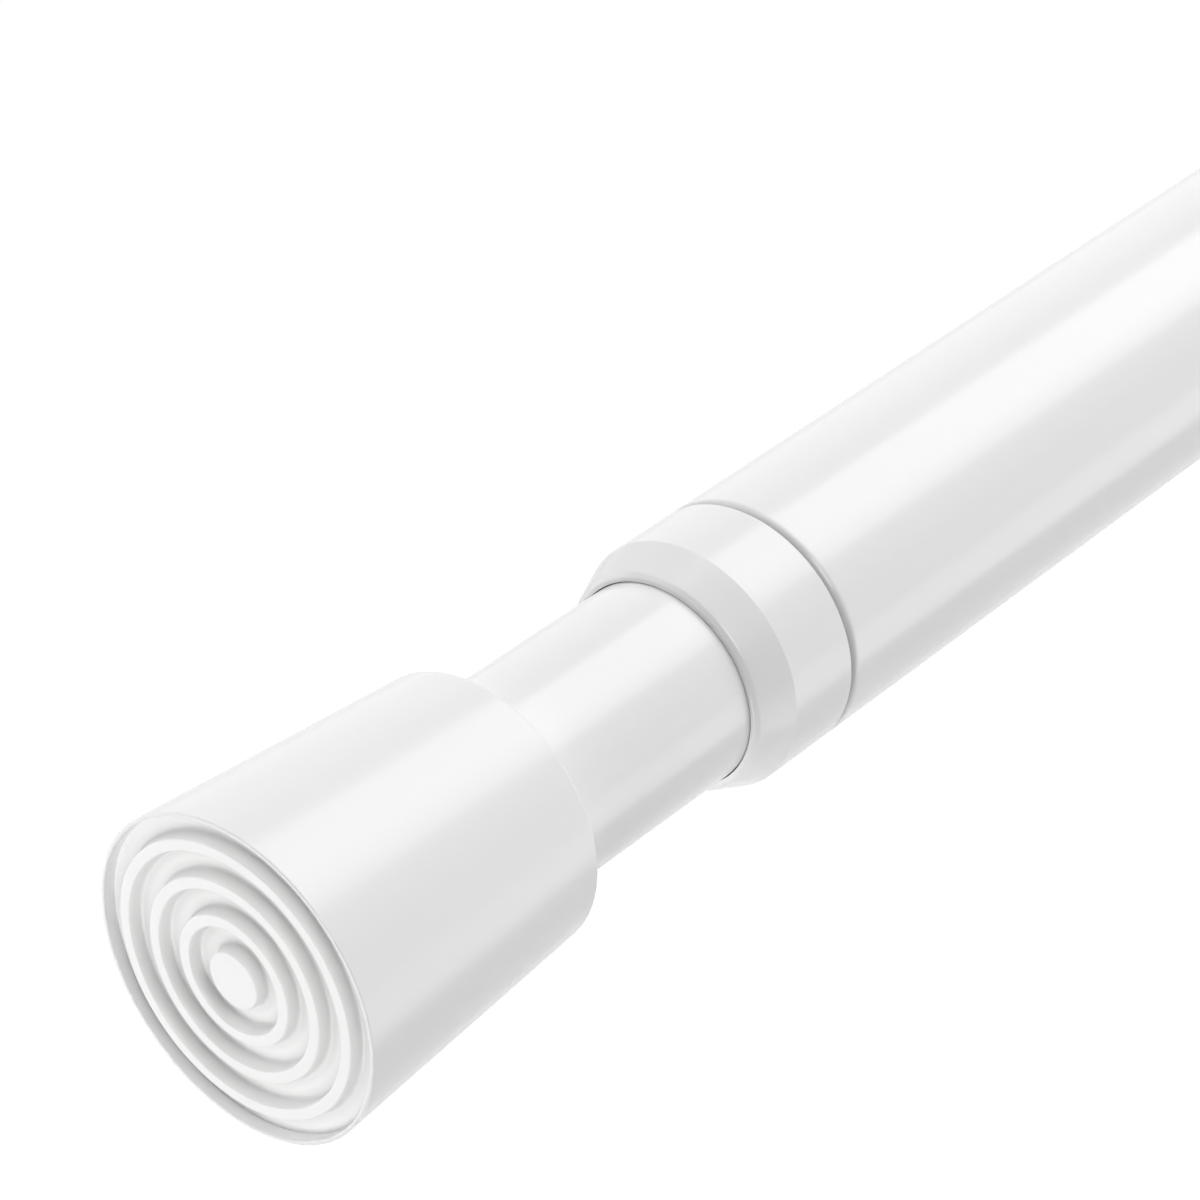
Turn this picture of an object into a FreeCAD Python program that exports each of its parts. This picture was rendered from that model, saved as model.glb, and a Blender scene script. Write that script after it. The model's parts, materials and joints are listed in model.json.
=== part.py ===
import FreeCAD, Part
import math
import os

from FreeCAD import Vector

# Spring tension rod, in millimetres.
# The rod lies along X. The origin is the middle of the fixed foot's wall face, and the
# sliding foot is at the +X end. Both feet press outwards against two facing walls.

# Whole rod
closed_length = 406.4
spring_stroke = 25.0

# Outer tube, rolled steel with a white finish
outer_tube_diameter = 25.4
outer_tube_wall = 0.7
outer_tube_mouth_roll = 0.85
outer_tube_mouth_drop = 0.45

# Inner tube, rolled steel with the same finish, with room round it in the outer tube
tube_gap = 1.65
inner_tube_wall = 0.6
inner_tube_edge_break = 0.15

# Foot shell: a cone that is widest at the wall
foot_back_wall = 1.0
foot_flare = 2.15
foot_length = 31.0
foot_lip_width = 0.5
foot_recess_depth = 1.9
foot_floor = 2.5
foot_back_chamfer = 0.25
foot_skirt_wall = 1.2

# Socket of the fixed foot, which holds the outer tube by crush ribs
crush_rib_count = 8
crush_rib_height = 0.2
crush_rib_width = 1.4
socket_lead_in = 0.35

# Socket of the sliding foot: a sleeve inside the skirt, tied to it by radial ribs
sleeve_wall = 1.2
sleeve_set_back = 3.0
foot_rib_count = 8
foot_rib_width = 1.2

# Rubber pad that fills the front of each foot
pad_proud = 0.1
pad_disc_diameter = 5.6
pad_groove_width = 2.3
pad_groove_floor = 1.1
pad_groove_pitch = 3.55
pad_groove_depth = 0.9
pad_stud_diameter = 6.0
pad_barb_diameter = 7.2
pad_barb_length = 2.0

# Collar in the mouth of the outer tube
rest_gap = 25.3
collar_nose_wall = 0.92
collar_nose_length = 3.6
collar_band_length = 8.3
collar_front_rise = 0.4
collar_front_land = 0.4
collar_edge_chamfer = 0.15
collar_spigot_length = 20.0
collar_lead_in = 0.8
collar_slot_count = 4
collar_slot_width = 1.6
collar_slot_length = 12.0
mouth_gap = 0.15

# Guide bush in the inner end of the inner tube
bush_length = 24.0
bush_flange_thickness = 4.0
bush_edge_break = 0.5

# Spindle that carries the lock
spindle_diameter = 8.0
spindle_flat_width = 6.6
spindle_tip = 2.0
spindle_tip_chamfer = 0.8
shank_reserve = 5.0
thrust_flange_thickness = 3.0
lock_reserve = 28.3

# Nuts and washers on the spindle
nut_across_flats = 13.0
nut_thickness = 6.5
nut_corner_chamfer = 0.7
buffer_washer_thickness = 1.5
spring_washer_thickness = 1.6
thrust_washer_thickness = 1.2
end_washer_thickness = 1.5
washer_side_clearance = 1.25

# Expanding lock sleeve and the rubber band that makes it drag
sleeve_base_length = 8.0
finger_length = 20.0
finger_count = 6
finger_slot_width = 1.8
finger_tip_wall = 1.6
slot_root_land = 2.0
drag_ring_thickness = 1.6
drag_ring_width = 3.0

# Wedge nut: a cone with keys that ride in the slots between the fingers
wedge_length = 16.0
wedge_stick_out = 3.0
wedge_half_angle = 10.0
wedge_key_inset = 0.8
lock_turns = 1.5
thread_pitch = 1.25

# Compression spring and the plug that it pushes
spring_wire_diameter = 1.6
spring_wire_sides = 6
spring_installed_length = 70.0
spring_turns = 8
spring_side_clearance = 1.0
stop_length = 10.0
stop_boss_length = 5.0
stop_bore_diameter = 6.0

# Beads rolled into the inner tube, which hold the bush and the plug
bead_depth = 0.5
bead_floor = 1.2
bead_slope = 0.7

# Clearances
press_clearance = 0.05
slide_clearance = 0.1
turn_clearance = 0.08
stop_clearance = 0.3
face_clearance = 0.1
loose_clearance = 0.25
bore_clearance = 0.2
key_clearance = 0.3
wedge_clearance = 0.12

# Radii that several pieces share
outer_radius = outer_tube_diameter / 2
outer_bore = outer_radius - outer_tube_wall
inner_radius = outer_bore - tube_gap
inner_bore = inner_radius - inner_tube_wall
foot_back_radius = outer_radius + foot_back_wall
foot_rim_radius = foot_back_radius + foot_flare
spindle_radius = spindle_diameter / 2
washer_radius = inner_bore - washer_side_clearance
sleeve_radius = outer_bore - bore_clearance
drag_ring_radius = outer_bore - press_clearance
drag_ring_bore = drag_ring_radius - drag_ring_thickness
wedge_travel = lock_turns * thread_pitch
wedge_slope = math.tan(math.radians(wedge_half_angle))
wedge_rest_gap = wedge_clearance + wedge_travel * wedge_slope

# Places along a foot, measured from its wall face into the rod
foot_rim_at = pad_proud
foot_floor_front = pad_proud + foot_recess_depth
foot_floor_back = foot_floor_front + foot_floor
foot_back_at = pad_proud + foot_length

# Places of the lock along the rod, from the fixed foot's wall face
spindle_start = foot_floor_back + pad_barb_length + lock_reserve
end_nut_at = spindle_start + spindle_tip
end_washer_at = end_nut_at + nut_thickness
wedge_at = end_washer_at + end_washer_thickness + face_clearance
finger_tip_at = wedge_at + wedge_stick_out
lock_base_at = finger_tip_at + finger_length
drag_ring_at = lock_base_at + (sleeve_base_length - drag_ring_width) / 2
lock_base_front = lock_base_at + sleeve_base_length
thrust_washer_at = lock_base_front + face_clearance
thrust_flange_at = thrust_washer_at + thrust_washer_thickness
thrust_flange_front = thrust_flange_at + thrust_flange_thickness

# Places of the bush, the spring and the inner tube
bush_flange_at = thrust_flange_front + shank_reserve + spring_stroke
inner_tube_start = bush_flange_at + bush_flange_thickness
bush_bead_at = inner_tube_start + bush_length / 2
bush_end_at = inner_tube_start + bush_length
buffer_washer_at = bush_end_at + face_clearance
head_nut_at = buffer_washer_at + buffer_washer_thickness
spring_washer_at = head_nut_at + nut_thickness
spring_at = spring_washer_at + spring_washer_thickness
spindle_end = spring_at + spindle_tip
stop_at = spring_at + spring_installed_length
stop_bead_at = stop_at + stop_length / 2
inner_tube_end = closed_length - foot_floor_back

# Places of the collar and the mouth of the outer tube
collar_front_at = closed_length - foot_back_at - rest_gap
collar_nose_at = collar_front_at - collar_front_rise
collar_band_at = collar_nose_at - collar_nose_length
collar_shoulder_at = collar_band_at - collar_band_length
mouth_at = collar_shoulder_at - mouth_gap
spigot_end_at = collar_shoulder_at - collar_spigot_length
slide_travel = spigot_end_at - stop_clearance - inner_tube_start

origin = Vector(0, 0, 0)
rod_axis = Vector(1, 0, 0)


def turned(points):
    """Turn a closed outline of (place, radius) points about the rod's axis."""
    corners = [Vector(place, 0, radius) for place, radius in points]
    face = Part.Face(Part.makePolygon(corners + corners[:1]))
    return face.revolve(origin, rod_axis, 360)


def bar(radius, start, end):
    """A round bar on the rod's axis."""
    return Part.makeCylinder(radius, end - start, Vector(start, 0, 0), rod_axis)


def ring(radius, bore, start, end):
    """A bar with a round hole through it."""
    return bar(radius, start, end).cut(bar(bore, start, end))


def around(shape, count, first_angle=0.0):
    """Copies of one shape, evenly spaced about the rod's axis."""
    copies = []
    for number in range(count):
        copy = shape.copy()
        copy.rotate(origin, rod_axis, first_angle + 360.0 * number / count)
        copies.append(copy)
    return copies


def spoke(start, end, width, low_radius, high_radius):
    """A flat-sided spoke that stands out along +Z."""
    corner = Vector(start, -width / 2, low_radius)
    return Part.makeBox(end - start, width, high_radius - low_radius, corner)


def at_sliding_end(shape):
    """Turn a foot piece round and put it at the other end of the rod."""
    moved = shape.copy()
    moved.rotate(origin, Vector(0, 0, 1), 180)
    moved.translate(Vector(closed_length, 0, 0))
    return moved


def foot_radius(place):
    """Outer radius of the foot's cone at a distance from the wall face."""
    return foot_rim_radius - foot_flare * (place - foot_rim_at) / foot_length


def foot_body():
    """The cone with its lip, its recess for the pad and the hole for the pad's stud."""
    stud_hole = pad_stud_diameter / 2 + press_clearance
    lip_chamfer = foot_lip_width / 3
    lip_shoulder = foot_rim_at + lip_chamfer
    back_shoulder = foot_back_at - foot_back_chamfer
    return turned([
        (foot_floor_front, stud_hole),
        (foot_floor_front, foot_radius(foot_floor_front) - foot_lip_width),
        (foot_rim_at, foot_radius(foot_rim_at) - foot_lip_width),
        (foot_rim_at, foot_radius(foot_rim_at) - lip_chamfer),
        (lip_shoulder, foot_radius(lip_shoulder)),
        (back_shoulder, foot_radius(back_shoulder)),
        (foot_back_at, foot_radius(foot_back_at) - foot_back_chamfer),
        (foot_back_at, stud_hole),
    ])


def fixed_foot_shell():
    """Foot with a plain round socket, ribbed to grip the outer tube."""
    grip_radius = outer_radius + press_clearance
    socket_radius = grip_radius + crush_rib_height
    socket = turned([
        (foot_floor_back, 0),
        (foot_floor_back, socket_radius),
        (foot_back_at - socket_lead_in, socket_radius),
        (foot_back_at, socket_radius + socket_lead_in / 2),
        (foot_back_at, 0),
    ])
    rib_end = foot_back_at - foot_length / 4
    rib_root = socket_radius + press_clearance
    rib = spoke(foot_floor_back, rib_end, crush_rib_width, outer_radius / 2, rib_root)
    ribs = Part.makeCompound(around(rib, crush_rib_count))
    ribs = ribs.cut(bar(grip_radius, foot_floor_back, foot_back_at))
    shell = foot_body().cut(socket)
    return shell.fuse(ribs.Solids).removeSplitter()


def sliding_foot_shell():
    """Foot with a sleeve for the inner tube, held in the skirt by radial ribs."""
    grip_radius = inner_radius + press_clearance
    sleeve_outer = grip_radius + sleeve_wall
    sleeve_end = foot_back_at - sleeve_set_back
    hollow = turned([
        (foot_floor_back, grip_radius),
        (foot_floor_back, foot_radius(foot_floor_back) - foot_skirt_wall),
        (foot_back_at, foot_radius(foot_back_at) - foot_skirt_wall),
        (foot_back_at, grip_radius),
    ])
    sleeve = ring(sleeve_outer, grip_radius, foot_floor_back, sleeve_end)
    reach = foot_radius(foot_floor_back) - foot_skirt_wall / 2
    rib = spoke(foot_floor_back, sleeve_end, foot_rib_width, sleeve_outer - sleeve_wall / 2, reach)
    ribs = around(rib, foot_rib_count)
    kept = hollow.common(Part.makeCompound(ribs)).fuse(sleeve)
    bore = bar(grip_radius, foot_floor_back, foot_back_at)
    return foot_body().cut(hollow).cut(bore).fuse(kept).removeSplitter()


def foot_pad():
    """Rubber disc with ring grooves and a stepped edge, and a barbed stud on its back."""
    face = 0.0
    back = foot_floor_front
    edge_radius = foot_radius(foot_rim_at) - foot_lip_width - press_clearance
    back_radius = foot_radius(back) - foot_lip_width - press_clearance
    stud_radius = pad_stud_diameter / 2
    barb_end = foot_floor_back + pad_barb_length
    flank = (pad_groove_width - pad_groove_floor) / 2
    outline = [(face, 0)]
    inner = pad_disc_diameter / 2
    while inner + pad_groove_width < edge_radius:
        outline.append((face, inner))
        outline.append((pad_groove_depth, inner + flank))
        outline.append((pad_groove_depth, inner + flank + pad_groove_floor))
        outline.append((face, inner + pad_groove_width))
        inner += pad_groove_pitch
    if inner + flank < edge_radius:
        outline.append((face, inner))
        outline.append((pad_groove_depth, inner + flank))
    outline.append((pad_groove_depth, edge_radius))
    outline.append((back, back_radius))
    outline.append((back, stud_radius))
    outline.append((foot_floor_back, stud_radius))
    outline.append((foot_floor_back, pad_barb_diameter / 2))
    outline.append((barb_end, stud_radius - pad_barb_length / 4))
    outline.append((barb_end, 0))
    return turned(outline)


def outer_tube():
    """Outer tube, with its mouth edge rolled in a little."""
    return turned([
        (foot_floor_back, outer_bore),
        (foot_floor_back, outer_radius),
        (mouth_at - outer_tube_mouth_roll, outer_radius),
        (mouth_at, outer_radius - outer_tube_mouth_drop),
        (mouth_at, outer_bore),
    ])


def collar():
    """Moulded collar: a coned nose with a raised front, a flush band and a slotted spigot."""
    bore = inner_radius + slide_clearance
    nose_radius = inner_radius + collar_nose_wall
    spigot_radius = outer_bore - press_clearance
    body = turned([
        (spigot_end_at, bore),
        (spigot_end_at, spigot_radius - collar_lead_in / 2),
        (spigot_end_at + collar_lead_in, spigot_radius),
        (collar_shoulder_at, spigot_radius),
        (collar_shoulder_at, outer_radius - collar_edge_chamfer),
        (collar_shoulder_at + collar_edge_chamfer, outer_radius),
        (collar_band_at, outer_radius),
        (collar_nose_at, nose_radius),
        (collar_front_at, bore + collar_front_land),
        (collar_front_at, bore),
    ])
    slot = spoke(
        spigot_end_at,
        spigot_end_at + collar_slot_length,
        collar_slot_width,
        inner_radius / 2,
        outer_radius,
    )
    return body.cut(around(slot, collar_slot_count, 180.0 / collar_slot_count))


def beaded(place, radius):
    """Outline points of one bead rolled into a surface, middle at the place given."""
    low = radius - bead_depth
    return [
        (place - bead_floor / 2 - bead_slope, radius),
        (place - bead_floor / 2, low),
        (place + bead_floor / 2, low),
        (place + bead_floor / 2 + bead_slope, radius),
    ]


def inner_tube():
    """Inner tube, with a bead rolled in over the bush and over the spring's plug."""
    outline = [
        (inner_tube_start, inner_bore),
        (inner_tube_start, inner_radius - inner_tube_edge_break),
        (inner_tube_start + inner_tube_edge_break, inner_radius),
    ]
    outline += beaded(bush_bead_at, inner_radius)
    outline += beaded(stop_bead_at, inner_radius)
    outline += [
        (inner_tube_end - inner_tube_edge_break, inner_radius),
        (inner_tube_end, inner_radius - inner_tube_edge_break),
        (inner_tube_end, inner_bore),
    ]
    outline += reversed(beaded(stop_bead_at, inner_bore))
    outline += reversed(beaded(bush_bead_at, inner_bore))
    return turned(outline)


def flatted_bar(radius, flat_width, start, end):
    """Round bar with two opposite flats."""
    block = Part.makeBox(end - start, 2 * radius, flat_width, Vector(start, -radius, -flat_width / 2))
    return bar(radius, start, end).common(block)


def guide_bush():
    """Bush that slides on the spindle's flats, with a flange that stops at the collar."""
    body_radius = inner_bore - press_clearance
    outline = [
        (bush_flange_at, 0),
        (bush_flange_at, sleeve_radius - bush_edge_break),
        (bush_flange_at + bush_edge_break, sleeve_radius),
        (inner_tube_start, sleeve_radius),
        (inner_tube_start, body_radius),
    ]
    outline += beaded(bush_bead_at, body_radius)
    outline += [
        (bush_end_at - bush_edge_break, body_radius),
        (bush_end_at, body_radius - bush_edge_break),
        (bush_end_at, 0),
    ]
    body = turned(outline)
    way = flatted_bar(
        spindle_radius + turn_clearance,
        spindle_flat_width + 2 * turn_clearance,
        bush_flange_at,
        bush_end_at,
    )
    return body.cut(way)


def spindle():
    """Round bar with a thrust flange, flatted where it passes through the bush."""
    chamfer_start = spindle_start + spindle_tip_chamfer
    chamfer_end = spindle_end - spindle_tip_chamfer
    tip_radius = spindle_radius - spindle_tip_chamfer
    turned_bar = turned([
        (spindle_start, 0),
        (spindle_start, tip_radius),
        (chamfer_start, spindle_radius),
        (thrust_flange_at, spindle_radius),
        (thrust_flange_at, washer_radius),
        (thrust_flange_front, washer_radius),
        (thrust_flange_front, spindle_radius),
        (chamfer_end, spindle_radius),
        (spindle_end, tip_radius),
        (spindle_end, 0),
    ])
    reach = 2 * spindle_radius
    for side in (1, -1):
        low = spindle_flat_width / 2 if side > 0 else -spindle_flat_width / 2 - reach
        corner = Vector(thrust_flange_front, -reach, low)
        waste = Part.makeBox(spindle_end - thrust_flange_front, 2 * reach, reach, corner)
        turned_bar = turned_bar.cut(waste)
    return turned_bar


def nut(start):
    """Hexagon nut with its corners turned off at both faces."""
    corner_radius = nut_across_flats / math.sqrt(3)
    flat_radius = corner_radius - nut_corner_chamfer
    end = start + nut_thickness
    corners = []
    for number in range(7):
        angle = math.radians(60 * number)
        corners.append(Vector(start, corner_radius * math.cos(angle), corner_radius * math.sin(angle)))
    hexagon = Part.Face(Part.makePolygon(corners)).extrude(Vector(nut_thickness, 0, 0))
    crown = turned([
        (start, spindle_radius + press_clearance),
        (start, flat_radius),
        (start + nut_corner_chamfer / 2, corner_radius),
        (end - nut_corner_chamfer / 2, corner_radius),
        (end, flat_radius),
        (end, spindle_radius + press_clearance),
    ])
    return hexagon.common(crown)


def washer(start, thickness):
    """Flat washer on the spindle."""
    return ring(washer_radius, spindle_radius + loose_clearance, start, start + thickness)


def finger_bore(place):
    """Radius of the tapered hole inside the fingers."""
    return sleeve_radius - finger_tip_wall - (place - finger_tip_at) * wedge_slope


def lock_sleeve():
    """Expanding sleeve: a base with a groove for the drag ring, and tapered fingers."""
    groove_start = drag_ring_at - press_clearance
    groove_end = drag_ring_at + drag_ring_width + press_clearance
    shaft_hole = spindle_radius + turn_clearance
    body = turned([
        (finger_tip_at, finger_bore(finger_tip_at)),
        (finger_tip_at, sleeve_radius),
        (groove_start, sleeve_radius),
        (groove_start, drag_ring_bore - press_clearance),
        (groove_end, drag_ring_bore - press_clearance),
        (groove_end, sleeve_radius),
        (lock_base_front, sleeve_radius),
        (lock_base_front, shaft_hole),
        (lock_base_at, shaft_hole),
        (lock_base_at, finger_bore(lock_base_at)),
    ])
    slot = spoke(
        finger_tip_at,
        lock_base_at - slot_root_land,
        finger_slot_width,
        shaft_hole,
        outer_radius,
    )
    return body.cut(around(slot, finger_count))


def drag_ring():
    """Square-cut rubber ring that drags on the tube's bore."""
    return ring(drag_ring_radius, drag_ring_bore, drag_ring_at, drag_ring_at + drag_ring_width)


def wedge_nut():
    """Cone that the thread draws into the fingers, kept from turning by its keys."""
    wedge_end = wedge_at + wedge_length
    big_radius = finger_bore(wedge_at) - wedge_rest_gap
    small_radius = finger_bore(wedge_end) - wedge_rest_gap
    bore = spindle_radius + turn_clearance
    cone = turned([
        (wedge_at, bore),
        (wedge_at, big_radius),
        (wedge_end, small_radius),
        (wedge_end, bore),
    ])
    key_width = finger_slot_width - 2 * key_clearance
    key = spoke(wedge_at, wedge_end, key_width, bore + press_clearance, sleeve_radius - wedge_key_inset)
    return cone.fuse(around(key, finger_count)).removeSplitter()


def spring():
    """Compression spring with ends ground flat."""
    coil_radius = inner_bore - spring_side_clearance - spring_wire_diameter / 2
    pitch = spring_installed_length / spring_turns
    height = spring_installed_length + pitch
    helix = Part.makeHelix(pitch, height, coil_radius)
    corners = []
    for number in range(spring_wire_sides + 1):
        angle = 2 * math.pi * number / spring_wire_sides
        out = spring_wire_diameter / 2 * math.cos(angle)
        up = spring_wire_diameter / 2 * math.sin(angle)
        corners.append(Vector(coil_radius + out, 0, up))
    section = Part.makePolygon(corners)
    coil = Part.Wire(helix).makePipeShell([section], True, True)
    coil.rotate(origin, Vector(0, 1, 0), 90)
    coil.translate(Vector(spring_at - pitch / 2, 0, 0))
    return coil.common(bar(inner_bore, spring_at, stop_at))


def spring_stop():
    """Plug that the spring pushes, with a boss that centres the spring."""
    boss_radius = inner_bore - spring_side_clearance - spring_wire_diameter - loose_clearance
    bore = stop_bore_diameter / 2
    plug_radius = inner_bore - press_clearance
    outline = [
        (stop_at - stop_boss_length, bore),
        (stop_at - stop_boss_length, boss_radius - loose_clearance),
        (stop_at - stop_boss_length / 2, boss_radius),
        (stop_at, boss_radius),
        (stop_at, plug_radius),
    ]
    outline += beaded(stop_bead_at, plug_radius)
    outline += [
        (stop_at + stop_length, plug_radius),
        (stop_at + stop_length, bore),
    ]
    return turned(outline)


def export(shape, name):
    """Write one piece to its own file."""
    shape.exportStep("parts/" + name + ".step")
    print(name, len(shape.Solids), "solid, valid", shape.isValid(), round(shape.Volume), "mm3")


os.makedirs("parts", exist_ok=True)
print("closed", closed_length, "mm, and it opens by", round(slide_travel, 3), "mm")

pad = foot_pad()

export(outer_tube(), "outer_tube")
export(collar(), "collar")
export(fixed_foot_shell(), "fixed_foot_shell")
export(pad, "fixed_foot_pad")
export(lock_sleeve(), "lock_sleeve")
export(drag_ring(), "drag_ring")
export(wedge_nut(), "wedge_nut")
export(spindle(), "spindle")
export(washer(thrust_washer_at, thrust_washer_thickness), "thrust_washer")
export(washer(end_washer_at, end_washer_thickness), "end_washer")
export(nut(end_nut_at), "end_stop_nut")
export(washer(buffer_washer_at, buffer_washer_thickness), "buffer_washer")
export(nut(head_nut_at), "head_nut")
export(washer(spring_washer_at, spring_washer_thickness), "spring_washer")
export(guide_bush(), "guide_bush")
export(inner_tube(), "inner_tube")
export(spring(), "spring")
export(spring_stop(), "spring_stop")
export(at_sliding_end(sliding_foot_shell()), "sliding_foot_shell")
export(at_sliding_end(pad), "sliding_foot_pad")
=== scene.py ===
import json
import math

import bmesh
import bpy
from mathutils import Matrix, Vector


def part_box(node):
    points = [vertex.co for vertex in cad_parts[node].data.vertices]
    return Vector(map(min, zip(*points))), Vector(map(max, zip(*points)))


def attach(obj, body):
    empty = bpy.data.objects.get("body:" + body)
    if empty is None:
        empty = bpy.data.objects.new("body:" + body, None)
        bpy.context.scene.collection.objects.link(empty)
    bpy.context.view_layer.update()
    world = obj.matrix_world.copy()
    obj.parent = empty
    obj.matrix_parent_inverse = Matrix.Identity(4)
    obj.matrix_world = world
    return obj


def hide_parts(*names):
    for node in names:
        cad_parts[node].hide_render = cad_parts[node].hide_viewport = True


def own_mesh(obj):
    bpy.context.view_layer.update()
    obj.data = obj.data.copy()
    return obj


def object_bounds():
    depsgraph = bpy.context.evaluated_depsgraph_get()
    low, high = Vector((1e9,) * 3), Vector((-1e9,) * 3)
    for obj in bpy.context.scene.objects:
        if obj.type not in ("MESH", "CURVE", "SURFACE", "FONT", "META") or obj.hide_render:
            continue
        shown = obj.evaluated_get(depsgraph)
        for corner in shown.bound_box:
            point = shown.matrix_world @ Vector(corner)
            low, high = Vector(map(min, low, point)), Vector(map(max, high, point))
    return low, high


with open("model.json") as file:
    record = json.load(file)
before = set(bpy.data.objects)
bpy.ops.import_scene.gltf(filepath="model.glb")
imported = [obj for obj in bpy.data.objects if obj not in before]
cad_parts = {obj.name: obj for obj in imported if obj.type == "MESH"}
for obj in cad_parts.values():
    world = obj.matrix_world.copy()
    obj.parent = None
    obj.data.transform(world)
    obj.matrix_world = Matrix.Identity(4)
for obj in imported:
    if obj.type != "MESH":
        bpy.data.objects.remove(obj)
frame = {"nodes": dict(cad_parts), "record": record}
cad_low, cad_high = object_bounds()
MM = 0.001
print("frame", len(frame["nodes"]), "nodes, from", list(cad_low), "to", list(cad_high))

# %% [markdown]
# ## The camera
# The photograph looks along the rod from just beyond its near foot and from above, with a fairly
# long lens held close, so the foot looks large and the far tube runs out of the frame. The place
# and the three directions of such a camera can be worked out from the ellipses of the round edges.
# A camera is easiest to aim by its directions, so they are written into its matrix.
# %% Camera
camera_place = Vector((0.58853, 0.19314, 0.21544))
camera_right = Vector((-0.643571, 0.765389, 0.0)).normalized()
camera_forward = Vector((-0.635369, -0.534230, -0.557500)).normalized()
camera_up = camera_right.cross(camera_forward)
camera_data = bpy.data.cameras.new("camera")
camera_data.lens = 121.894
camera_data.sensor_width = 36.0
camera = bpy.data.objects.new("camera", camera_data)
bpy.context.scene.collection.objects.link(camera)
turn = Matrix((camera_right, camera_up, -camera_forward)).transposed()
camera.matrix_world = Matrix.Translation(camera_place) @ turn.to_4x4()
bpy.context.scene.camera = camera
print("camera looks down by", round(math.degrees(math.asin(-camera_forward.z)), 1), "degrees")

# %% [markdown]
# ## Sizes read from the frame
# Every round piece of the rod is turned about the X axis, so a CAD node's box gives its two ends
# and its largest radius. Reading them keeps the looks on the CAD model. All are in millimetres.
# %% Sizes


def ends(node):
    """First and last place of a node along the rod, in millimetres."""
    low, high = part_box(node)
    return low.x / MM, high.x / MM


def widest(node):
    """Largest radius of a turned node, in millimetres."""
    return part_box(node)[1].z / MM


rod_length = cad_high.x / MM
outer_radius = widest("outer_tube")
inner_radius = widest("inner_tube")
rim_radius = widest("sliding_foot_shell")
foot_rim, foot_back = ends("fixed_foot_shell")
to_sliding_end = Matrix.Translation((rod_length * MM, 0, 0)) @ Matrix.Rotation(math.pi, 4, "Z")
print("radii", outer_radius, inner_radius, rim_radius, "foot", foot_rim, foot_back)

# %% [markdown]
# ## A small kit for Geometry Nodes
# Several pieces follow a rule, such as a turned outline, a coil or a ring of ribs, and Geometry
# Nodes say such a rule once, with named inputs. Wiring nodes by hand takes many lines, so three
# helpers make a tree, add a node with its values or links, and turn the result into a plain mesh.
# %% Geometry Nodes helpers


def new_tree(name, inputs):
    """An empty Geometry Nodes tree with named inputs, and its input and output nodes."""
    tree = bpy.data.node_groups.new(name, "GeometryNodeTree")
    tree.interface.new_socket("Geometry", in_out="OUTPUT", socket_type="NodeSocketGeometry")
    tree.interface.new_socket("Geometry", in_out="INPUT", socket_type="NodeSocketGeometry")
    for label, kind in inputs.items():
        tree.interface.new_socket(label, in_out="INPUT", socket_type="NodeSocket" + kind)
    return tree, tree.nodes.new("NodeGroupInput"), tree.nodes.new("NodeGroupOutput")


def add(tree, kind, values=(), **settings):
    """Add a node. Each value goes to the input of the same number or name, as a link or a number."""
    node = tree.nodes.new(kind)
    for key, setting in settings.items():
        setattr(node, key, setting)
    pairs = values.items() if isinstance(values, dict) else enumerate(values)
    for key, value in pairs:
        if isinstance(value, bpy.types.NodeSocket):
            tree.links.new(value, node.inputs[key])
        elif value is not None:
            node.inputs[key].default_value = value
    return node.outputs[0]


def calc(tree, operation, *values):
    """A math node."""
    return add(tree, "ShaderNodeMath", values, operation=operation)


def finish_tree(tree, geometry, group_in, group_out):
    """End a tree: real geometry, smooth shading and the material of its input."""
    real = add(tree, "GeometryNodeRealizeInstances", [geometry])
    smooth = add(tree, "GeometryNodeSetShadeSmooth", [real])
    painted = add(
        tree,
        "GeometryNodeSetMaterial",
        {"Geometry": smooth, "Material": group_in.outputs["Material"]},
    )
    tree.links.new(painted, group_out.inputs[0])


def grown(name, base_mesh, steps):
    """Run one or more trees over a base mesh, and keep the result as a plain mesh."""
    host = bpy.data.objects.new(name + "_host", base_mesh)
    bpy.context.scene.collection.objects.link(host)
    for tree, values in steps:
        modifier = host.modifiers.new(tree.name, "NODES")
        modifier.node_group = tree
        for item in tree.interface.items_tree:
            if item.in_out == "INPUT" and item.name in values:
                modifier[item.identifier] = values[item.name]
    graph = bpy.context.evaluated_depsgraph_get()
    mesh = bpy.data.meshes.new_from_object(host.evaluated_get(graph))
    host.modifiers.clear()
    bpy.data.objects.remove(host)
    mesh.name = name
    return mesh


print("helpers ready")

# %% [markdown]
# ## White finishes
# The tubes are rolled steel under gloss white enamel, and the feet and the collar are gloss white
# plastic. All look nearly the same, so what tells them apart is small: enamel has a faint orange
# peel, moulded plastic a finer and flatter one, and rubber a dull grain. Each is one recipe with its
# own numbers: two close tints that wander, a roughness that wanders, and a bump.
# %% Finishes of enamel, plastic and rubber


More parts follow.
